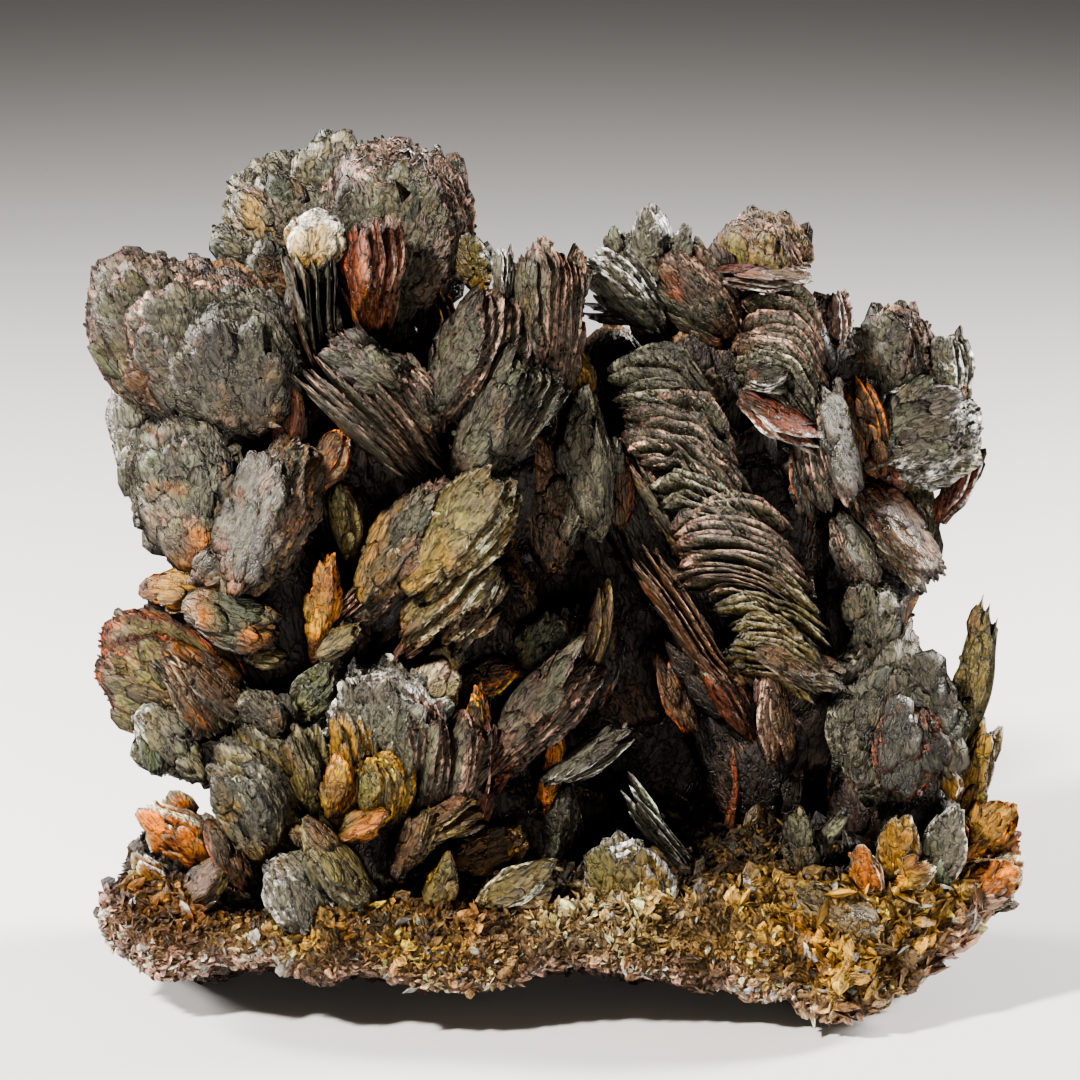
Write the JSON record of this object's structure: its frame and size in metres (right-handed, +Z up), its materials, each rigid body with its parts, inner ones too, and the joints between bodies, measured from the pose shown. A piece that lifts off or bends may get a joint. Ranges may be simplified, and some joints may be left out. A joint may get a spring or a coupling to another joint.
{
  "type": "descloizite mineral specimen",
  "caption": "Free-standing group of brown to olive bladed crystals: two towers of sheaf-like and scaly aggregates on a druse crust, with a flat underside",
  "frame": {"origin": "centre of the flat the group rests on, at the middle of its box and at its lowest level", "axes": "+X to the right along the length of the crust, -Y out of the face seen in the picture, +Z up"},
  "size_m": [0.0798, 0.0403, 0.0742],
  "materials": {
    "descloizite": "greasy"
  },
  "bodies": {
    "root": {"descloizite_crystal_group": "descloizite"}
  },
  "joints": []
}
